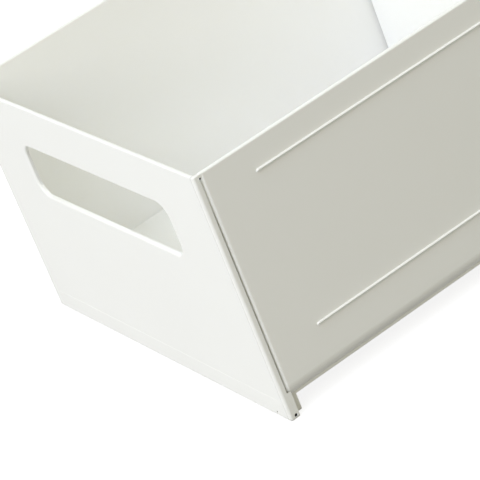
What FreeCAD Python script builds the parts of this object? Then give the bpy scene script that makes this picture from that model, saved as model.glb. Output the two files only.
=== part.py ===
import FreeCAD, Part
import math
import os
from FreeCAD import Vector

# Adjustable drawer organizer: moulded walls on a floor tray, a separate front panel and a sliding divider.
# Millimetres. X runs across, Y from the front to the back, Z up.
# The origin is the middle of the footprint, on the surface that the organizer stands on.

# Overall sizes
tub_width = 150.0
total_length = 300.0
rim_height = 93.0

# Walls: two sides and the back in one wrap, whose foot turns in to the floor tray
wall = 1.8
back_corner_radius = 6.5
foot_turn_radius = 5.2
foot_turn_in = 2.3
foot_turn_level = 7.2
rim_round = 0.5
front_edge_round = 1.2

# Floor tray: a flat floor with a low skirt all round and a deeper foot near each end
floor_top = 10.8
floor_wall = 1.5
tray_gap = 0.08
skirt_wall = 1.5
skirt_above_rest = 6.8
skirt_edge_round = 0.3
foot_thickness = 2.0
foot_clearance = 0.2
foot_corner_round = 1.5
front_foot_setback = 5.1
rear_foot_inset = 9.0
floor_rib_count = 5
floor_rib_wall = 1.2
floor_rib_above_rest = 7.6

# Bead along the tray's skirt, and its groove in the walls' turned foot
snap_radius = 0.4
snap_stand = 0.3
snap_clearance = 0.1
snap_level = 9.4
snap_end_margin = 26.0

# Seam between the front panel and the tub
seam_gap = 0.6
floor_gap = 0.15
corner_bridge_height = 1.2
corner_bridge_inset = 0.15
corner_hole_diameter = 1.0
corner_hole_overlap = 0.15
lower_hole_diameter = 1.2
lower_hole_above_rest = 1.6

# Raised ribs along the outside of the side walls
rib_width = 1.5
rib_height = 0.75
upper_rib_below_rim = 10.0
lower_rib_above_rest = 25.0
rib_start = 21.0
rib_end_margin = 21.0

# Front panel
panel_wall = 1.5
panel_bend_radius = 1.3
panel_inner_radius = 0.4
panel_rim_depth = 2.3
panel_lip_depth = 3.8
panel_lip_clearance = 0.2
panel_end_round = 1.3
panel_top_round = 0.45

# Fine lines on the panel's face: one beside each side bend, and one above the lip
line_width = 0.5
line_depth = 0.2
line_end_margin = 0.9
lip_line_width = 0.3
lip_line_depth = 0.08
lip_line_above_rest = 7.6
lip_line_end_margin = 4.0
pin_mark_diameter = 0.7
pin_mark_depth = 0.4
pin_mark_from_side = 7.3
pin_mark_above_rest = 2.1

# Hand slot
slot_width = 93.8
slot_height = 20.3
slot_corner_radius = 5.6
slot_below_rim = 17.3
slot_lip_wall = 1.5
slot_lip_depth = 0.9
slot_edge_round = 0.8
slot_inner_round = 0.35

# Clip ribs behind the front panel, and the pockets that they snap into
clip_thickness = 1.6
clip_depth = 7.0
clip_bottom = 14.0
clip_below_rim = 14.0
clip_clearance = 0.3
pocket_clearance = 0.18
clip_lead_in = 1.0
bump_radius = 1.0
bump_stand = 0.5
bump_length = 34.0
bump_from_end = 2.4

# Hooks at the foot of the front panel, and their windows in the tray's front foot
hook_count = 3
hook_pitch = 46.0
hook_width = 16.0
hook_thickness = 1.3
hook_tip_thickness = 0.8
hook_above_rest = 3.0
hook_barb = 0.7
hook_barb_length = 2.0
window_clearance = 0.25

# Divider
divider_wall = 1.5
divider_bend = 2.2
divider_foot_bend = 2.2
divider_flange_depth = 16.0
divider_below_rim = 7.5
divider_floor_clearance = 0.35
divider_place = 159.6
divider_bead_width = 2.6
divider_bead_height = 2.6

# Soft grips in the divider's flanges
grip_clearance = 0.25
grip_stand = 0.6
grip_seat_depth = 0.6
grip_width = 8.0
grip_from_back = 2.5
grip_bottom_margin = 8.0
grip_top_margin = 7.0
grip_ridge_radius = 0.3
grip_ridge_count = 4

# Places worked out from the sizes above
half_width = tub_width / 2
front_face = -total_length / 2
back_face = total_length / 2
tub_front = front_face + panel_rim_depth + seam_gap
inner_half_width = half_width - wall
turn_drop = math.sqrt(foot_turn_radius ** 2 - (foot_turn_radius - foot_turn_in) ** 2)
wall_foot = foot_turn_level + foot_turn_radius - turn_drop
tray_inset = foot_turn_in + tray_gap
tray_half = half_width - tray_inset
floor_underside = floor_top - floor_wall
panel_inner_face = front_face + panel_wall
foot_front = front_face + front_foot_setback
foot_back = foot_front + foot_thickness
rear_foot_back = back_face - rear_foot_inset
slot_top = rim_height - slot_below_rim
slot_middle = slot_top - slot_height / 2
corner_hole_z = rim_height - corner_bridge_height - corner_hole_diameter / 2
divider_front = front_face + divider_place
divider_back = divider_front + divider_flange_depth
divider_bottom = floor_top + divider_floor_clearance
divider_top = rim_height - divider_below_rim
divider_half = inner_half_width - grip_clearance - grip_stand
clip_outer = inner_half_width - clip_clearance
clip_top = rim_height - clip_below_rim
clip_back = panel_inner_face + clip_depth


def block(low, high):
    """A box between two corners."""
    size = [high[i] - low[i] for i in range(3)]
    return Part.makeBox(size[0], size[1], size[2], Vector(*low))


def near(value, target):
    return abs(value - target) < 0.001


def edges_in(shape, test):
    """The edges whose two end points and middle all pass the test."""
    found = []
    for edge in shape.Edges:
        ends = [vertex.Point for vertex in edge.Vertexes]
        if len(ends) == 2 and all(test(point) for point in ends) and test(edge.CenterOfMass):
            found.append(edge)
    return found


def edges_along(shape, axis, test):
    """The edges that run along one axis, 0 to 2 for X to Z, and whose middle passes the test."""
    found = []
    for edge in shape.Edges:
        ends = [vertex.Point for vertex in edge.Vertexes]
        if len(ends) != 2:
            continue
        still = [near(ends[0][i], ends[1][i]) for i in range(3) if i != axis]
        if all(still) and not near(ends[0][axis], ends[1][axis]) and test(edge.CenterOfMass):
            found.append(edge)
    return found


def rounded_plate(low, high, radius, thickness_axis):
    """A plate with four rounded corners, seen along its thickness."""
    plate = block(low, high)
    return plate.makeFillet(radius, edges_along(plate, thickness_axis, lambda p: True))


def mirrored(shape, side):
    """The shape itself on the right side, or its mirror image on the left."""
    if side > 0:
        return shape
    return shape.mirror(Vector(0, 0, 0), Vector(1, 0, 0))


def outline_block(inset, front, bottom, top):
    """A block with the walls' outline, inset all round: square in front, with soft back corners."""
    side = half_width - inset
    back = back_face - inset
    body = block((-side, front, bottom), (side, back, top))
    return body.makeFillet(back_corner_radius - inset, edges_along(body, 2, lambda p: near(p.y, back)))


def wall_wrap():
    """Both side walls and the back wall, with the foot turned in and the rims softened."""
    body = outline_block(0, tub_front, foot_turn_level, rim_height)
    low = edges_in(body, lambda p: near(p.z, foot_turn_level))
    low = [edge for edge in low if edge.CenterOfMass.y > tub_front + 0.01]
    body = body.makeFillet(foot_turn_radius, low)
    outline = edges_in(body, lambda p: near(p.y, tub_front) and p.z < rim_height - 0.01)
    body = body.makeFillet(front_edge_round, outline)
    inside = outline_block(wall, front_face, floor_top, rim_height + 1)
    tray_room = outline_block(foot_turn_in, front_face, 0, floor_top + 1)
    shell = body.cut(inside).cut(tray_room)
    rim = edges_in(shell, lambda p: near(p.z, rim_height))
    return shell.makeFillet(rim_round, rim)


def side_rib(z, side):
    """One raised rib with a round section and round ends, growing from the side wall's outside."""
    start = front_face + rib_start
    end = back_face - rib_end_margin
    radius = rib_width / 2
    length = end - start - rib_width
    centre = Vector(side * (half_width + rib_height - radius), start + radius, z)
    bar = Part.makeCylinder(radius, length, centre, Vector(0, 1, 0))
    first = Part.makeSphere(radius, centre, Vector(0, 0, 1), -90, 90, 360)
    last = Part.makeSphere(radius, centre + Vector(0, length, 0), Vector(0, 0, 1), -90, 90, 360)
    rib = bar.fuse([first, last])
    outside = block((half_width - wall / 2, start - radius, z - rib_width),
                    (half_width + rib_width, end + radius, z + rib_width))
    return rib.common(mirrored(outside, side))


def foot(back, clearance):
    """One cross foot under the tray, with rounded lower corners."""
    low = (-tray_half, back - foot_thickness, clearance)
    body = block(low, (tray_half, back, floor_top - floor_wall / 2))
    return body.makeFillet(foot_corner_round, edges_along(body, 1, lambda p: near(p.z, clearance)))


def skirt():
    """The tray's low rim, which closes the foot of the walls all round behind the front foot."""
    body = outline_block(tray_inset, foot_front, skirt_above_rest, floor_underside + floor_wall / 2)
    outside = edges_in(body, lambda p: near(p.z, skirt_above_rest))
    outside = [edge for edge in outside if edge.CenterOfMass.y > foot_front + 0.01]
    body = body.makeFillet(skirt_edge_round, outside)
    return body.cut(outline_block(tray_inset + skirt_wall, foot_front - 1, 0, floor_top))


def floor_ribs():
    """Low ribs that stiffen the floor from below, evenly spread between the two feet."""
    pitch = (rear_foot_back - foot_thickness - foot_back) / (floor_rib_count + 1)
    half = tray_half - skirt_wall / 2
    ribs = []
    for i in range(floor_rib_count):
        middle = foot_back + pitch * (i + 1)
        low = (-half, middle - floor_rib_wall / 2, floor_rib_above_rest)
        ribs.append(block(low, (half, middle + floor_rib_wall / 2, floor_underside + floor_wall / 2)))
    return ribs


def snap_bead(side, radius):
    """The long half-round bead on the tray's skirt, or its groove when grown by the clearance."""
    start = tub_front + snap_end_margin
    length = back_face - snap_end_margin - start
    place = Vector(side * (tray_half + snap_stand - snap_radius), start, snap_level)
    return Part.makeCylinder(radius, length, place, Vector(0, 1, 0))


def make_tray():
    body = outline_block(tray_inset, panel_inner_face + floor_gap, floor_underside, floor_top)
    beads = [snap_bead(side, snap_radius) for side in (-1, 1)]
    feet = [foot(foot_back, foot_clearance), foot(rear_foot_back, 0)]
    body = body.fuse(feet + [skirt()] + floor_ribs() + beads)
    for place in hook_places():
        body = body.cut(hook_window(place))
    return body.removeSplitter()


def hook_places():
    """Where the hooks sit across the panel, spread evenly about the middle."""
    first = -hook_pitch * (hook_count - 1) / 2
    return [first + hook_pitch * i for i in range(hook_count)]


def hook_window(place):
    """The opening in the tray's front foot that one hook passes."""
    half = hook_width / 2 + window_clearance
    low = (place - half, foot_front - 1, hook_above_rest - window_clearance)
    top = hook_above_rest + hook_thickness + window_clearance
    return block(low, (place + half, foot_back + 1, top))


def corner_bridge(side):
    """The strip under the rim by which the side wall reaches the panel above the seam."""
    low = (half_width - panel_wall, front_face + panel_rim_depth, rim_height - corner_bridge_height)
    high = (half_width - corner_bridge_inset, tub_front + 2 * front_edge_round,
            rim_height - corner_bridge_inset)
    return mirrored(block(low, high), side)


def corner_hole(side, z, diameter):
    """The small hole where the seam ends."""
    place = front_face + panel_rim_depth + corner_hole_overlap
    start = Vector(side * (half_width - 1.5 * wall), place, z)
    return Part.makeCylinder(diameter / 2, 2 * wall, start, Vector(side, 0, 0))


def clip_pocket(side):
    """The shallow upright groove in a side wall that takes the bump of a clip rib."""
    return clip_bump(side, bump_radius + pocket_clearance, bump_length + 2 * clip_clearance)


def clip_bump(side, radius, length):
    """A half-round upright bump near the free end of a clip rib."""
    middle = (clip_bottom + clip_top) / 2
    x = side * (clip_outer + bump_stand - bump_radius)
    start = Vector(x, clip_back - bump_from_end, middle - length / 2)
    return Part.makeCylinder(radius, length, start, Vector(0, 0, 1))


def make_tub():
    body = wall_wrap()
    ribs = [side_rib(z, side) for side in (-1, 1)
            for z in (lower_rib_above_rest, rim_height - upper_rib_below_rim)]
    bridges = [corner_bridge(side) for side in (-1, 1)]
    body = body.fuse(ribs + bridges)
    for side in (-1, 1):
        body = body.cut(corner_hole(side, corner_hole_z, corner_hole_diameter))
        body = body.cut(clip_pocket(side))
        body = body.cut(snap_bead(side, snap_radius + snap_clearance))
    return body.removeSplitter()


def panel_pan():
    """The panel's face with a shallow rim down both sides and along the bottom."""
    depth = panel_lip_depth
    body = block((-half_width, front_face, 0), (half_width, front_face + depth, rim_height))
    body = body.makeFillet(panel_end_round, edges_along(body, 1, lambda p: near(p.z, 0)))
    bends = edges_in(body, lambda p: near(p.y, front_face) and p.z < rim_height + 0.01)
    bends = [edge for edge in bends if edge.CenterOfMass.z < rim_height - 0.01]
    body = body.makeFillet(panel_bend_radius, bends)
    inner_half = half_width - panel_wall
    hollow = block((-inner_half, panel_inner_face, panel_wall),
                   (inner_half, front_face + depth + 1, rim_height + 1))
    inner = edges_along(hollow, 0, lambda p: near(p.y, panel_inner_face) and near(p.z, panel_wall))
    inner += edges_along(hollow, 2, lambda p: near(p.y, panel_inner_face))
    hollow = hollow.makeFillet(panel_inner_radius, inner)
    body = body.cut(hollow)
    step = wall_foot - panel_lip_clearance
    shallow = block((-half_width - 1, front_face + panel_rim_depth, step),
                    (half_width + 1, front_face + depth + 1, rim_height + 1))
    body = body.cut(shallow)
    top = edges_in(body, lambda p: near(p.z, rim_height))
    top = [edge for edge in top if edge.CenterOfMass.y < panel_inner_face + 0.01]
    return body.makeFillet(panel_top_round, top)


def slot_profile(grow, front, back):
    """A rounded bar with the hand slot's outline, grown all round."""
    half = slot_width / 2 + grow
    low = (-half, front, slot_middle - slot_height / 2 - grow)
    high = (half, back, slot_middle + slot_height / 2 + grow)
    return rounded_plate(low, high, slot_corner_radius + grow, 1)


def clip_rib(side):
    """An upright rib behind the panel that slips inside the side wall, with its bump and lead-in."""
    low = (clip_outer - clip_thickness, panel_inner_face - panel_wall / 2, clip_bottom)
    rib = block(low, (clip_outer, clip_back, clip_top))
    lead = edges_along(rib, 2, lambda p: near(p.x, clip_outer) and near(p.y, clip_back))
    rib = mirrored(rib.makeChamfer(clip_lead_in, lead), side)
    return rib.fuse(clip_bump(side, bump_radius, bump_length).common(rib_reach(side)))


def rib_reach(side):
    """The space that a clip's bump may fill: from the middle of its rib outwards."""
    low = (clip_outer - clip_thickness / 2, front_face, 0)
    return mirrored(block(low, (half_width, clip_back, rim_height)), side)


def hook(place):
    """A flat tongue through the tray's front foot with a barb that catches behind it."""
    half = hook_width / 2
    start = panel_inner_face - panel_wall / 2
    tip = foot_back + window_clearance + hook_barb_length
    base = hook_above_rest
    outline = [(start, base), (tip, base), (tip, base + hook_tip_thickness),
               (tip - hook_barb_length, base + hook_thickness + hook_barb),
               (tip - hook_barb_length, base + hook_thickness), (start, base + hook_thickness)]
    points = [Vector(place - half, y, z) for y, z in outline]
    face = Part.Face(Part.makePolygon(points + [points[0]]))
    return face.extrude(Vector(hook_width, 0, 0))


def upright_line(side):
    """A fine upright groove in the panel's face, where the side bend begins."""
    x = side * (half_width - panel_bend_radius - line_width / 2)
    return groove(Vector(x, front_face, line_end_margin + panel_end_round),
                  Vector(0, 0, rim_height - panel_end_round - 2 * line_end_margin),
                  Vector(line_width / 2, 0, 0), line_depth)


def lip_line():
    """The faint groove across the face above the lip."""
    reach = half_width - lip_line_end_margin
    return groove(Vector(-reach, front_face, lip_line_above_rest), Vector(2 * reach, 0, 0),
                  Vector(0, 0, lip_line_width / 2), lip_line_depth)


def groove(start, run, half, depth):
    """A three-sided cutter for a fine groove in the panel's face."""
    bottom = start + Vector(0, depth, 0)
    outward = Vector(0, -depth, 0)
    points = [start - half + outward, start + half + outward, start + half, bottom, start - half]
    return Part.Face(Part.makePolygon(points + [points[0]])).extrude(run)


def pin_mark():
    """The small round mark low on the right of the face."""
    place = Vector(half_width - pin_mark_from_side, front_face - 1, pin_mark_above_rest)
    return Part.makeCylinder(pin_mark_diameter / 2, 1 + pin_mark_depth, place, Vector(0, 1, 0))


def make_front_panel():
    body = panel_pan()
    collar = slot_profile(slot_lip_wall, panel_inner_face - panel_wall / 2,
                          panel_inner_face + slot_lip_depth)
    body = body.fuse([collar, clip_rib(-1), clip_rib(1)] + [hook(place) for place in hook_places()])
    body = body.cut(slot_profile(0, front_face - 1, panel_inner_face + slot_lip_depth + 1))
    for side in (-1, 1):
        body = body.cut(corner_hole(side, corner_hole_z, corner_hole_diameter))
        body = body.cut(corner_hole(side, lower_hole_above_rest, lower_hole_diameter))
    body = body.removeSplitter()
    body = body.makeFillet(slot_edge_round, slot_edges(body, front_face))
    body = body.makeFillet(slot_inner_round, slot_edges(body, panel_inner_face + slot_lip_depth))
    return body.cut([upright_line(-1), upright_line(1), lip_line(), pin_mark()])


def slot_edges(body, y):
    """The edges of the hand slot's mouth in one upright plane."""
    half = slot_width / 2 + 0.01
    rise = slot_height / 2 + 0.01
    return edges_in(body, lambda p: near(p.y, y) and abs(p.x) < half and abs(p.z - slot_middle) < rise)


def open_pan(half, front, depth, bottom, top, wall, bend, foot_bend):
    """A plate with flanges bent back down both sides and along the foot, open at the back and top."""
    outer = rounded_foot(half, front, front + depth, bottom, top, foot_bend, bend)
    inner = rounded_foot(half - wall, front + wall, front + depth + 1, bottom + wall, top + 1,
                         foot_bend - wall, bend - wall)
    return outer.cut(inner)


def rounded_foot(half, front, back, bottom, top, foot_bend, bend):
    """A block with soft lower corners and a soft edge round its front, apart from the top."""
    body = block((-half, front, bottom), (half, back, top))
    body = body.makeFillet(foot_bend, edges_along(body, 1, lambda p: near(p.z, bottom)))
    outline = edges_in(body, lambda p: near(p.y, front))
    outline = [edge for edge in outline if edge.CenterOfMass.z < top - 0.01]
    return body.makeFillet(bend, outline)


def grip_seat(side, grow, inner, outer):
    """The place of a grip in a flange: an upright strip with round ends."""
    back = divider_back - grip_from_back + grow
    front = divider_back - grip_from_back - grip_width - grow
    low = (inner, front, divider_bottom + grip_bottom_margin - grow)
    high = (outer, back, divider_top - grip_top_margin + grow)
    return mirrored(rounded_plate(low, high, grip_width / 2 + grow - 0.01, 0), side)


def make_divider():
    body = open_pan(divider_half, divider_front, divider_flange_depth, divider_bottom, divider_top,
                    divider_wall, divider_bend, divider_foot_bend)
    reach = divider_half - divider_bend
    low = (-reach, divider_front, divider_top - divider_bead_height)
    bead = block(low, (reach, divider_front + divider_bead_width, divider_top))
    body = body.fuse(bead)
    for side in (-1, 1):
        body = body.cut(grip_seat(side, 0, divider_half - grip_seat_depth, divider_half + 1))
    return body.removeSplitter()


def make_grip(side):
    """A soft strip with low upright ridges on its outer face."""
    face = divider_half + grip_stand - grip_ridge_radius
    strip = grip_seat(1, 0, divider_half - grip_seat_depth, face)
    front = divider_back - grip_from_back - grip_width
    pitch = grip_width / (grip_ridge_count + 1)
    bottom = divider_bottom + grip_bottom_margin + grip_width / 2
    height = divider_top - grip_top_margin - grip_width / 2 - bottom
    ridges = []
    for i in range(grip_ridge_count):
        start = Vector(face, front + pitch * (i + 1), bottom)
        ridges.append(Part.makeCylinder(grip_ridge_radius, height, start, Vector(0, 0, 1)))
    return mirrored(strip.fuse(ridges).removeSplitter(), side)


os.makedirs("parts", exist_ok=True)
nodes = {
    "drawer_tub": make_tub(),
    "floor_tray": make_tray(),
    "front_panel": make_front_panel(),
    "divider": make_divider(),
    "divider_left_grip": make_grip(-1),
    "divider_right_grip": make_grip(1),
}
for name, shape in nodes.items():
    shape.exportStep("parts/" + name + ".step")
    box = shape.BoundBox
    print(name, "solids", len(shape.Solids), "valid", shape.isValid(), "volume", round(shape.Volume, 1),
          "box", [round(v, 2) for v in (box.XMin, box.YMin, box.ZMin, box.XMax, box.YMax, box.ZMax)])
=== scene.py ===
import math

import bmesh
import bpy
from mathutils import Matrix, Vector


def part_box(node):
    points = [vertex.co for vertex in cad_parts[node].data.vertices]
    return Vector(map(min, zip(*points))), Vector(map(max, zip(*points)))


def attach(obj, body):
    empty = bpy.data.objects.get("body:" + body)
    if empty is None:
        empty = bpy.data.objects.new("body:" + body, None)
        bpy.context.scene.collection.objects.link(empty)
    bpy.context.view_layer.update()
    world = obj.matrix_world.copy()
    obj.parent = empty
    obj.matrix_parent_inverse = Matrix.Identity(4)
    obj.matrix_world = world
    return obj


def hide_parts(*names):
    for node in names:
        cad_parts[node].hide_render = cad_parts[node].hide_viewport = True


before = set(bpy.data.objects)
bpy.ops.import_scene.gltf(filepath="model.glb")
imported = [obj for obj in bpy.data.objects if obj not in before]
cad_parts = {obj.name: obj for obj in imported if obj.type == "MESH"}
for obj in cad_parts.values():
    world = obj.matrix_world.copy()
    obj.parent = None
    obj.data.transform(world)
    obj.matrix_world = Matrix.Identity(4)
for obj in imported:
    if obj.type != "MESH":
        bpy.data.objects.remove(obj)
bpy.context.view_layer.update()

# All lengths are in metres. Places read from the frame:
panel_low, panel_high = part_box("front_panel")
front_face = panel_low.y
half_width = panel_high.x

# The front panel's section near its side seams and its slot, as in the part's source
panel_wall = 0.0015
panel_bend = 0.0013
panel_rim_depth = 0.0023
panel_step = 0.0079
groove_width = 0.0005
groove_depth = 0.0002
slot_half_width = 0.0469
slot_low, slot_high = 0.0554, 0.0757
slot_lip_depth = 0.0009
slot_lip_wall = 0.0015

# How the dressed panel departs from the plain solid: its side bends are tighter, the rim's side leans in
# towards the seam, the outer part of the step over the lip rises under the wall's turned foot, and the
# slot's lip is nearly flush
tight_bend = 0.0011
rim_lean = 0.0001
step_rise = 0.0024
step_outer_part = 0.0008
lip_left = 0.00005

# The tray's front foot, which stands closer behind the panel's lip than in the solids
foot_front = front_face + 0.0051
foot_back = front_face + 0.0071
foot_front_dressed = front_face + 0.0041
foot_back_dressed = front_face + 0.0063

# The side ribs, whose crest lies near their upper edge, so that the lower flank is turned down. The flank's
# start and end are shares of the rib's half height.
rib_heights = (0.025, 0.083)
rib_half = 0.00075
rib_flank_start, rib_flank_end = 0.55, -0.5
rib_flank_left = 0.3

# Soft grips, made anew as rounded strips with upright ridges
grip_ridges = 7
grip_ridge_radius = 0.0003
grip_ridge_sides = 20
grip_rounding = 0.00025
grip_sharp_angle = math.radians(50.0)
strip_end_steps = 24
strip_edge_steps = 4

# How far from a plane a corner may lie and still count as on it, where its neighbours are far and near;
# the digits to which two corners agree to be joined; and the upward part of a normal that faces up
loose = 0.0001
tight = 0.00001
weld_digits = 6
turned_up = 0.9

# Painted shade in small hollows and on the slot's left wall, each an upright egg: its middle, its radii and its
# darkening
seam_hole_out = 0.07355
# Painted shade in the pin mark's shallow dimple
pin_mark_shade = ((0.0677, front_face + 0.0002, 0.0021), (0.00037, 0.0003, 0.00037), 0.7)
# Painted shade on the slot's left wall, where the panel shadows it
slot_wall_shade = ((-slot_half_width, front_face + 0.0013, (slot_low + slot_high) / 2),
                  (0.0008, 0.0008, 0.0105), 0.17)
# Painted shade in the seam holes at the panel's lower and upper corners
lower_hole_shade = [((side * seam_hole_out, front_face + 0.0025, 0.0016), (0.00142, 0.0009, 0.0009), 0.92)
               for side in (-1.0, 1.0)]
upper_hole_shade = [((side * seam_hole_out, front_face + 0.00245, 0.0913), (0.00142, 0.0008, 0.0007), 0.92)
               for side in (-1.0, 1.0)]

# Painted shade: the faint dark line along the panel's upright grooves, darkened in the tone where shade falls
# in them
crease_middle = half_width - tight_bend - groove_width / 2
crease_half_width = 0.0003
crease_deepest = front_face + 0.001
crease_shade_darkening = 0.3

# The photographer's camera, worked out from the box's straight edges
image_size = 480.0
focal_pixels = 2878.19
sensor_width = 36.0
camera_azimuth = math.radians(65.7)
camera_elevation = math.radians(27.3)
camera_roll = math.radians(-22.1)
camera_distance = 0.9684
camera_target = Vector((0.008, front_face + 0.037452, 0.028171))
camera_nearest, camera_farthest = 0.05, 50.0

# Studio: each lamp's azimuth and elevation in degrees as seen from the box, its distance and side in
# metres, its power in watts and its colour
lamp_aim = Vector((0.0, -0.06, 0.045))
lamps = {
    "key_front_right": (35.0, 30.0, 2.4, 1.3, 13.8, (1.0, 0.995, 0.985)),
    "key_high": (27.0, 50.0, 2.4, 1.3, 19.9, (0.637, 0.728, 1.0)),
    "front_low": (4.0, 18.0, 2.4, 1.3, 16.0, (0.96, 0.985, 1.0)),
    "left_low": (-90.0, 27.0, 2.4, 1.3, 17.6, (0.646, 0.68, 1.0)),
    "back_high": (175.0, 50.0, 2.4, 1.3, 13.5, (0.832, 0.921, 1.0)),
    "back_low": (180.0, 28.0, 2.4, 1.3, 9.6, (0.861, 0.954, 1.0)),
}
world_strength = 0.435
world_colour = (1.0, 0.923, 0.589)
floor_reach = 6.0
floor_colour = (0.28, 0.28, 0.28)
floor_roughness = 0.9
floor_glow = 0.85


def link(thing):
    bpy.context.scene.collection.objects.link(thing)
    return thing


def put(tree, kind, inputs, **settings):
    """A new node with its settings, each input linked from a socket or set to a value."""
    node = tree.nodes.new(kind)
    for name, value in settings.items():
        setattr(node, name, value)
    for name, value in inputs.items():
        if isinstance(value, bpy.types.NodeSocket):
            tree.links.new(value, node.inputs[name])
        else:
            node.inputs[name].default_value = value
    return node


def math_step(tree, operation, *values):
    """The result of a Math node on one or two sockets or numbers."""
    return put(tree, "ShaderNodeMath", dict(enumerate(values)), operation=operation).outputs[0]


def vector_step(tree, operation, *values):
    """A Vector Math node's outputs."""
    return put(tree, "ShaderNodeVectorMath", dict(enumerate(values)), operation=operation).outputs


def add_camera():
    """The camera of the photograph: a long lens from the front right, rolled so that the box leans."""
    back = Vector((math.sin(camera_azimuth) * math.cos(camera_elevation),
                   -math.cos(camera_azimuth) * math.cos(camera_elevation),
                   math.sin(camera_elevation)))
    level = Vector((math.cos(camera_azimuth), math.sin(camera_azimuth), 0.0))
    rise = back.cross(level)
    right = level * math.cos(camera_roll) + rise * math.sin(camera_roll)
    up = rise * math.cos(camera_roll) - level * math.sin(camera_roll)
    data = bpy.data.cameras.new("photo_camera")
    data.sensor_width = sensor_width
    data.lens = focal_pixels / image_size * sensor_width
    data.clip_start, data.clip_end = camera_nearest, camera_farthest
    camera = link(bpy.data.objects.new("photo_camera", data))
    turn = Matrix((right, up, back)).transposed().to_4x4()
    camera.matrix_world = Matrix.Translation(camera_target + back * camera_distance) @ turn
    bpy.context.scene.camera = camera


def add_lamps():
    """Soft square lamps on a sphere about the box, all turned to it."""
    for name, (azimuth, elevation, distance, side, power, colour) in lamps.items():
        turn, rise = math.radians(azimuth), math.radians(elevation)
        outward = Vector((math.sin(turn) * math.cos(rise), -math.cos(turn) * math.cos(rise),
                          math.sin(rise)))
        data = bpy.data.lights.new(name, "AREA")
        data.shape = "SQUARE"
        data.size = side
        data.energy = power
        data.color = colour
        lamp = link(bpy.data.objects.new(name, data))
        lamp.location = lamp_aim + outward * distance
        lamp.rotation_euler = outward.to_track_quat("Z", "Y").to_euler()


def add_world():
    world = bpy.data.worlds.new("studio")
    bpy.context.scene.world = world
    world.use_nodes = True
    background = world.node_tree.nodes["Background"]
    background.inputs["Color"].default_value = (*world_colour, 1.0)
    background.inputs["Strength"].default_value = world_strength


def add_floor():
    """A pale floor that the camera sees as white, with the box's soft shadow on it."""
    mesh = bpy.data.meshes.new("studio_floor")
    corners = [(-floor_reach, -floor_reach, 0), (floor_reach, -floor_reach, 0),
               (floor_reach, floor_reach, 0), (-floor_reach, floor_reach, 0)]
    mesh.from_pydata(corners, [], [(0, 1, 2, 3)])
    floor = link(bpy.data.objects.new("studio_floor", mesh))
    material = bpy.data.materials.new("floor_white")
    material.use_nodes = True
    tree = material.node_tree
    shader = tree.nodes["Principled BSDF"]
    shader.inputs["Base Color"].default_value = (*floor_colour, 1.0)
    shader.inputs["Roughness"].default_value = floor_roughness
    rays = tree.nodes.new("ShaderNodeLightPath").outputs
    seen = math_step(tree, "MAXIMUM", rays["Is Camera Ray"], rays["Is Glossy Ray"])
    seen = math_step(tree, "MAXIMUM", seen, rays["Is Transmission Ray"])
    glow = put(tree, "ShaderNodeEmission", {"Strength": math_step(tree, "MULTIPLY", seen, floor_glow)})
    both = put(tree, "ShaderNodeAddShader", {0: shader.outputs[0], 1: glow.outputs[0]})
    tree.links.new(both.outputs[0], tree.nodes["Material Output"].inputs["Surface"])
    mesh.materials.append(material)


def new_group(name, inputs, output):
    """A shader node group that takes a position, its input node's sockets and its output's socket."""
    group = bpy.data.node_groups.new(name, "ShaderNodeTree")
    for label, kind, value in (("Position", "NodeSocketVector", (0.0, 0.0, 0.0)), *inputs):
        group.interface.new_socket(label, in_out="INPUT", socket_type=kind).default_value = value
    label, kind = output
    group.interface.new_socket(label, in_out="OUTPUT", socket_type=kind)
    taken = group.nodes.new("NodeGroupInput").outputs
    given = group.nodes.new("NodeGroupOutput").inputs[label]
    return group, taken, given


def make_mould_grain():
    """The very fine, even grain that a spark-eroded mould leaves on the plastic."""
    group, taken, given = new_group("mould_grain", [("Grain Scale", "NodeSocketFloat", 2600.0)],
                                    ("Height", "NodeSocketFloat"))
    grain = put(group, "ShaderNodeTexNoise", {"Vector": taken["Position"], "Scale": taken["Grain Scale"],
                                              "Detail": 1.0})
    group.links.new(grain.outputs["Fac"], given)
    return group


def make_tone_drift():
    """A slow drift between two near tones, as the plastic's colour shifts a little along the flow."""
    group, taken, given = new_group("tone_drift", [("Scale", "NodeSocketFloat", 9.0),
                                                   ("First Tone", "NodeSocketColor", (0.8, 0.8, 0.8, 1.0)),
                                                   ("Second Tone", "NodeSocketColor", (0.8, 0.8, 0.8, 1.0))],
                                    ("Color", "NodeSocketColor"))
    clouds = put(group, "ShaderNodeTexNoise", {"Vector": taken["Position"], "Scale": taken["Scale"],
                                               "Detail": 1.0})
    spread = put(group, "ShaderNodeMapRange", {"Value": clouds.outputs["Fac"], "From Min": 0.3,
                                               "From Max": 0.7})
    mix = put(group, "ShaderNodeMix", {"Factor": spread.outputs["Result"], "A": taken["First Tone"],
                                       "B": taken["Second Tone"]}, data_type="RGBA")
    group.links.new(mix.outputs["Result"], given)
    return group


def make_sheen_drift():
    """Slightly smoother and duller patches, where hands and wiping have passed."""
    group, taken, given = new_group("sheen_drift", [("Scale", "NodeSocketFloat", 26.0),
                                                    ("Smoothest", "NodeSocketFloat", 0.4),
                                                    ("Dullest", "NodeSocketFloat", 0.5)],
                                    ("Roughness", "NodeSocketFloat"))
    patches = put(group, "ShaderNodeTexNoise", {"Vector": taken["Position"], "Scale": taken["Scale"],
                                                "Detail": 2.0})
    spread = put(group, "ShaderNodeMapRange", {"Value": patches.outputs["Fac"], "From Min": 0.25,
                                               "From Max": 0.75, "To Min": taken["Smoothest"],
                                               "To Max": taken["Dullest"]})
    group.links.new(spread.outputs["Result"], given)
    return group


def darkened(group, colour, share):
    """A colour taken towards black by a share."""
    mix = put(group, "ShaderNodeMix", {"Factor": share, "A": colour, "B": (0.0, 0.0, 0.0, 1.0)},
              data_type="RGBA")
    return mix.outputs["Result"]


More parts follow.
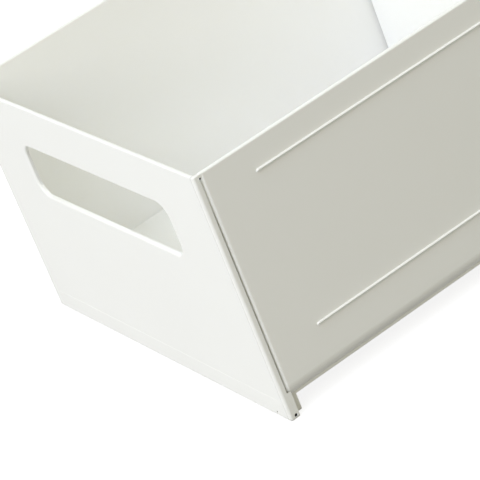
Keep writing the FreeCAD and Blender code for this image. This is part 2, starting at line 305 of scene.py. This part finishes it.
def make_crease_painted_shade():
    """Paints shade into the two fine grooves beside the panel's side bends: a darker tone where shade falls in
    them.
    """
    group, taken, given = new_group("crease_painted_shade", [("Color", "NodeSocketColor", (0.8, 0.8, 0.8, 1.0)),
                                                    ("Groove Place", "NodeSocketFloat", 0.0),
                                                    ("Half Width", "NodeSocketFloat", 0.001),
                                                    ("Deepest Front", "NodeSocketFloat", 0.0),
                                                    ("Darkening", "NodeSocketFloat", 0.0)],
                                    ("Color", "NodeSocketColor"))
    parts = put(group, "ShaderNodeSeparateXYZ", {0: taken["Position"]}).outputs
    outward = math_step(group, "ABSOLUTE", parts["X"])
    away = math_step(group, "ABSOLUTE", math_step(group, "SUBTRACT", outward, taken["Groove Place"]))
    band = put(group, "ShaderNodeMapRange", {"Value": away, "From Max": taken["Half Width"], "To Min": 1.0,
                                             "To Max": 0.0})
    facing = math_step(group, "LESS_THAN", parts["Y"], taken["Deepest Front"])
    inside = math_step(group, "MULTIPLY", band.outputs["Result"], facing)
    share = math_step(group, "MULTIPLY", inside, taken["Darkening"])
    group.links.new(darkened(group, taken["Color"], share), given)
    return group


def make_painted_shade_spot():
    """Paints shade into a tone inside an upright egg, as in the mouth of a small hole."""
    group, taken, given = new_group("painted_shade_spot", [("Color", "NodeSocketColor", (0.8, 0.8, 0.8, 1.0)),
                                                  ("Centre", "NodeSocketVector", (0.0, 0.0, 0.0)),
                                                  ("Radii", "NodeSocketVector", (0.001, 0.001, 0.001)),
                                                  ("Darkening", "NodeSocketFloat", 0.9)],
                                    ("Color", "NodeSocketColor"))
    away = vector_step(group, "SUBTRACT", taken["Position"], taken["Centre"])["Vector"]
    scaled = vector_step(group, "DIVIDE", away, taken["Radii"])["Vector"]
    inside = math_step(group, "LESS_THAN", vector_step(group, "LENGTH", scaled)["Value"], 1.0)
    share = math_step(group, "MULTIPLY", inside, taken["Darkening"])
    group.links.new(darkened(group, taken["Color"], share), given)
    return group


def moulded_material(name, first_tone, second_tone, smoothest, dullest, grain_strength=0.25,
                     grain_depth=0.00004, grain_scale=2600.0, drift_scale=9.0, reflection=0.5):
    """A moulded plastic or rubber: drifting tone, drifting sheen and a fine grain."""
    material = bpy.data.materials.new(name)
    material.use_nodes = True
    tree = material.node_tree
    shader = tree.nodes["Principled BSDF"]
    shader.inputs["Specular IOR Level"].default_value = reflection
    place = put(tree, "ShaderNodeTexCoord", {}, name="place").outputs["Object"]
    tone = put(tree, "ShaderNodeGroup", {"Position": place, "Scale": drift_scale,
                                         "First Tone": (*first_tone, 1.0),
                                         "Second Tone": (*second_tone, 1.0)}, node_tree=tone_drift)
    sheen = put(tree, "ShaderNodeGroup", {"Position": place, "Smoothest": smoothest,
                                          "Dullest": dullest}, node_tree=sheen_drift)
    grain = put(tree, "ShaderNodeGroup", {"Position": place, "Grain Scale": grain_scale},
                node_tree=mould_grain)
    bump = put(tree, "ShaderNodeBump", {"Height": grain.outputs["Height"], "Strength": grain_strength,
                                        "Distance": grain_depth})
    tree.links.new(tone.outputs["Color"], shader.inputs["Base Color"])
    tree.links.new(sheen.outputs["Roughness"], shader.inputs["Roughness"])
    tree.links.new(bump.outputs["Normal"], shader.inputs["Normal"])
    return material


def tone_step(material, group, inputs):
    """Puts one more group between a material's tone and its shader's base colour."""
    tree = material.node_tree
    base = tree.nodes["Principled BSDF"].inputs["Base Color"]
    place = tree.nodes["place"].outputs["Object"]
    step = put(tree, "ShaderNodeGroup", {"Position": place, "Color": base.links[0].from_socket,
                                         **inputs}, node_tree=group)
    tree.links.new(step.outputs["Color"], base)


def joined_copy(node_name):
    """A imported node's corners, joined where they meet, with its triangles and their shading normals."""
    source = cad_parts[node_name].data
    corners, places, faces, normals = {}, [], [], []
    for face in source.polygons:
        ring = []
        for loop in face.loop_indices:
            place = source.vertices[source.loops[loop].vertex_index].co
            key = tuple(round(value, weld_digits) for value in place)
            if key not in corners:
                corners[key] = len(places)
                places.append(place.copy())
            ring.append(corners[key])
        if len(set(ring)) == len(ring):
            faces.append(ring)
            normals.append([source.corner_normals[loop].vector.copy() for loop in face.loop_indices])
    return places, faces, normals


def finish_piece(name, places, faces, normals, body, node_name, material):
    """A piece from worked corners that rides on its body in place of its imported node."""
    mesh = bpy.data.meshes.new(name)
    mesh.from_pydata(places, [], faces)
    mesh.polygons.foreach_set("use_smooth", [True] * len(faces))
    mesh.normals_split_custom_set([normal for face in normals for normal in face])
    mesh.materials.append(material)
    piece = link(bpy.data.objects.new(name, mesh))
    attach(piece, body)
    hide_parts(node_name)


def rise_over(value, start, end):
    """0 below the start, 1 above the end, and even in between."""
    return min(max((value - start) / (end - start), 0.0), 1.0)


def tightened_bend(outward, from_front):
    """Where a point of the panel's side bend, or of the groove beside it, lies once the bend is tighter."""
    bend_start = half_width - panel_bend
    if outward > bend_start - tight and from_front < panel_bend + tight:
        share = tight_bend / panel_bend
        return (half_width - tight_bend + (outward - bend_start) * share,
                tight_bend + (from_front - panel_bend) * share)
    if outward > bend_start - groove_width - tight and from_front < groove_depth + tight:
        return outward + panel_bend - tight_bend, from_front
    return outward, from_front


def dress_front_panel():
    """The front panel with tighter bends, a leaning rim, a rising step and a slot wall as thin as the plate."""
    places, faces, normals = joined_copy("front_panel")
    inner_face = front_face + panel_wall
    rim_start = half_width - panel_wall - loose
    leaning, stepped = set(), set()
    for number, place in enumerate(places):
        side = math.copysign(1.0, place.x)
        outward, from_front = tightened_bend(abs(place.x), place.y - front_face)
        place.x, place.y = side * outward, front_face + from_front
        if outward > rim_start and from_front > panel_bend - loose:
            place.x -= side * rim_lean * rise_over(from_front, panel_bend, panel_rim_depth)
            if outward > half_width - loose and from_front < panel_rim_depth + loose:
                leaning.add(number)
        on_step = abs(place.z - panel_step) < loose and from_front > panel_rim_depth - loose
        if on_step and outward > rim_start:
            stepped.add(number)
            if outward > half_width - step_outer_part:
                place.z += step_rise
        near_slot = (outward < slot_half_width + slot_lip_wall + loose
                     and slot_low - slot_lip_wall - loose < place.z < slot_high + slot_lip_wall + loose)
        if near_slot and inner_face + tight < place.y < inner_face + slot_lip_depth + tight:
            place.y = inner_face + (place.y - inner_face) * lip_left / slot_lip_depth
    for ring, turns in zip(faces, normals):
        side = math.copysign(1.0, places[ring[0]].x)
        if all(number in leaning for number in ring):
            for turn in turns:
                turn.y += side * turn.x * rim_lean / (panel_rim_depth - panel_bend)
                turn.normalize()
        if all(number in stepped for number in ring) and turns[0].z > turned_up:
            for turn in turns:
                turn.x = -side * step_rise / panel_wall
                turn.normalize()
    finish_piece("front_panel_dressed", places, faces, normals, "box", "front_panel",
                 front_plastic)


def make_ribbed_grip_tree():
    """Upright ridges in a row along a soft strip's outer face, joined to the strip that comes in."""
    tree = bpy.data.node_groups.new("ribbed_grip", "GeometryNodeTree")
    for label, kind in (("Geometry", "Geometry"), ("Ridge Count", "Int"), ("Ridge Radius", "Float"),
                        ("Ridge Length", "Float"), ("First Ridge", "Vector"), ("Ridge Step", "Vector"),
                        ("Material", "Material")):
        tree.interface.new_socket(label, in_out="INPUT", socket_type="NodeSocket" + kind)
    tree.interface.new_socket("Geometry", in_out="OUTPUT", socket_type="NodeSocketGeometry")
    taken = tree.nodes.new("NodeGroupInput").outputs
    given = tree.nodes.new("NodeGroupOutput").inputs
    row = put(tree, "GeometryNodeMeshLine", {"Count": taken["Ridge Count"],
                                             "Start Location": taken["First Ridge"],
                                             "Offset": taken["Ridge Step"]})
    ridge = put(tree, "GeometryNodeMeshCylinder", {"Vertices": grip_ridge_sides,
                                                   "Radius": taken["Ridge Radius"],
                                                   "Depth": taken["Ridge Length"]})
    ridges = put(tree, "GeometryNodeInstanceOnPoints", {"Points": row.outputs["Mesh"],
                                                        "Instance": ridge.outputs["Mesh"]})
    join = put(tree, "GeometryNodeJoinGeometry", {"Geometry": taken["Geometry"]})
    tree.links.new(ridges.outputs["Instances"], join.inputs["Geometry"])
    real = put(tree, "GeometryNodeRealizeInstances", {"Geometry": join.outputs["Geometry"]})
    finish = put(tree, "GeometryNodeSetMaterial", {"Geometry": real.outputs["Geometry"],
                                                   "Material": taken["Material"]})
    tree.links.new(finish.outputs["Geometry"], given["Geometry"])
    return tree


def soft_strip(low, high, outward):
    """A closed strip with round ends, its outer edge softened, between two corners."""
    radius = (high.y - low.y) / 2
    middle = (high.y + low.y) / 2
    outline = []
    for centre, start in ((high.z - radius, 0.0), (low.z + radius, math.pi)):
        for i in range(strip_end_steps + 1):
            turn = start + math.pi * i / strip_end_steps
            outline.append((math.cos(turn), math.sin(turn), centre))
    inner, outer = (low.x, high.x) if outward > 0 else (high.x, low.x)
    levels = [(inner, 0.0)]
    for i in range(strip_edge_steps + 1):
        turn = math.pi / 2 * i / strip_edge_steps
        levels.append((outer - outward * grip_rounding * (1.0 - math.sin(turn)),
                       grip_rounding * (1.0 - math.cos(turn))))
    strip = bmesh.new()
    rings = [[strip.verts.new((x, middle + (radius - inset) * across, centre + (radius - inset) * up))
              for across, up, centre in outline] for x, inset in levels]
    count = len(outline)
    for lower, upper in zip(rings, rings[1:]):
        for i in range(count):
            strip.faces.new((lower[i], lower[(i + 1) % count], upper[(i + 1) % count], upper[i]))
    strip.faces.new(rings[0])
    strip.faces.new(rings[-1])
    bmesh.ops.recalc_face_normals(strip, faces=strip.faces)
    mesh = bpy.data.meshes.new("soft_strip")
    strip.to_mesh(mesh)
    strip.free()
    return mesh


def make_grip(node_name, tree):
    """A soft grip on one end of the divider: a strip with round ends and upright ridges towards the wall."""
    low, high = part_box(node_name)
    outward = 1.0 if low.x > 0 else -1.0
    strip_low, strip_high = low.copy(), high.copy()
    wall_corner = strip_high if outward > 0 else strip_low
    ridge_line = wall_corner.x - outward * grip_ridge_radius
    wall_corner.x = ridge_line
    width = high.y - low.y
    pitch = width / (grip_ridges + 1)
    worker = link(bpy.data.objects.new(node_name + "_worker", soft_strip(strip_low, strip_high, outward)))
    modifier = worker.modifiers.new("ridges", "NODES")
    modifier.node_group = tree
    values = {"Ridge Count": grip_ridges, "Ridge Radius": grip_ridge_radius,
              "Ridge Length": high.z - low.z - width,
              "First Ridge": (ridge_line, low.y + pitch, (low.z + high.z) / 2),
              "Ridge Step": (0.0, pitch, 0.0), "Material": grip_rubber}
    for socket in tree.interface.items_tree:
        if socket.in_out == "INPUT" and socket.name in values:
            modifier[socket.identifier] = values[socket.name]
    made = worker.evaluated_get(bpy.context.evaluated_depsgraph_get())
    mesh = bpy.data.meshes.new_from_object(made)
    bpy.data.objects.remove(worker)
    mesh.name = node_name + "_ribbed"
    mesh.shade_smooth()
    mesh.set_sharp_from_angle(angle=grip_sharp_angle)
    grip = link(bpy.data.objects.new(node_name + "_ribbed", mesh))
    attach(grip, "sliding_divider")
    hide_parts(node_name)


def rib_share(z, middle):
    """How much of a half-round rib's stand is left at a height, and how fast that share changes."""
    reach = rib_flank_start - rib_flank_end
    along = ((z - middle) / rib_half - rib_flank_end) / reach
    if along <= 0.0:
        return rib_flank_left, 0.0
    if along >= 1.0:
        return 1.0, 0.0
    share = rib_flank_left + (1.0 - rib_flank_left) * along * along * (3.0 - 2.0 * along)
    change = (1.0 - rib_flank_left) * 6.0 * along * (1.0 - along) / (reach * rib_half)
    return share, change


def dress_drawer_tub():
    """The walls with their side ribs given a crest near the upper edge and a long flank turned down."""
    places, faces, normals = joined_copy("drawer_tub")
    moved = {}
    for number, place in enumerate(places):
        stand = abs(place.x) - half_width
        for middle in rib_heights:
            if abs(place.z - middle) < rib_half + tight and stand > tight:
                share, change = rib_share(place.z, middle)
                moved[number] = (stand, share, change)
                place.x = math.copysign(half_width + stand * share, place.x)
    for ring, turns in zip(faces, normals):
        for number, turn in zip(ring, turns):
            if number in moved:
                stand, share, change = moved[number]
                outward = math.copysign(1.0, places[number].x)
                lean = turn.x * outward
                turn.x = outward * lean / share
                turn.z -= stand * change / share * lean
                turn.normalize()
    finish_piece("drawer_tub_dressed", places, faces, normals, "box", "drawer_tub",
                 shell_plastic)


def dress_floor_tray():
    """The floor tray with its front foot standing close behind the panel's lip."""
    places, faces, normals = joined_copy("floor_tray")
    for place in places:
        for packed, dressed in ((foot_front, foot_front_dressed), (foot_back, foot_back_dressed)):
            if abs(place.y - packed) < tight:
                place.y = dressed
                break
    finish_piece("floor_tray_dressed", places, faces, normals, "box", "floor_tray",
                 tray_plastic)


mould_grain = make_mould_grain()
tone_drift = make_tone_drift()
sheen_drift = make_sheen_drift()
crease_painted_shade = make_crease_painted_shade()
painted_shade_spot = make_painted_shade_spot()

shell_plastic = moulded_material("shell_plastic", (0.935, 0.934, 0.916), (0.925, 0.926, 0.907), 0.44, 0.54)
front_plastic = moulded_material("front_plastic", (0.935, 0.935, 0.918), (0.925, 0.926, 0.909), 0.42, 0.52)
tray_plastic = moulded_material("tray_plastic", (0.935, 0.934, 0.916), (0.925, 0.926, 0.907), 0.46, 0.56)
divider_plastic = moulded_material("divider_plastic", (0.935, 0.938, 0.924), (0.926, 0.929, 0.916),
                                   0.42, 0.52)
grip_rubber = moulded_material("grip_rubber", (0.74, 0.74, 0.71), (0.72, 0.72, 0.69), 0.75, 0.88,
                               grain_strength=0.5, grain_depth=0.00008, grain_scale=1500.0,
                               drift_scale=30.0, reflection=0.35)
# Painted shade in the grooves beside the panel's side bends
tone_step(front_plastic, crease_painted_shade, {"Groove Place": crease_middle, "Half Width": crease_half_width,
                                       "Deepest Front": crease_deepest, "Darkening": crease_shade_darkening})
# Painted shade in the pin mark's dimple, on the slot's left wall and in the seam holes
for plastic, spots in ((front_plastic, [pin_mark_shade, slot_wall_shade, *lower_hole_shade, *upper_hole_shade]),
                       (shell_plastic, upper_hole_shade)):
    for spot_middle, spot_radii, darkening in spots:
        tone_step(plastic, painted_shade_spot, {"Centre": spot_middle, "Radii": spot_radii, "Darkening": darkening})

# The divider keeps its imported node; the other pieces are dressed copies or made anew
divider_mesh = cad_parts["divider"].data
divider_mesh.materials.clear()
divider_mesh.materials.append(divider_plastic)
dress_front_panel()
dress_floor_tray()
dress_drawer_tub()
ribbed_grip = make_ribbed_grip_tree()
for grip_node in ("divider_left_grip", "divider_right_grip"):
    make_grip(grip_node, ribbed_grip)

add_camera()
add_floor()
add_lamps()
add_world()
bpy.context.scene.view_settings.view_transform = "Standard"
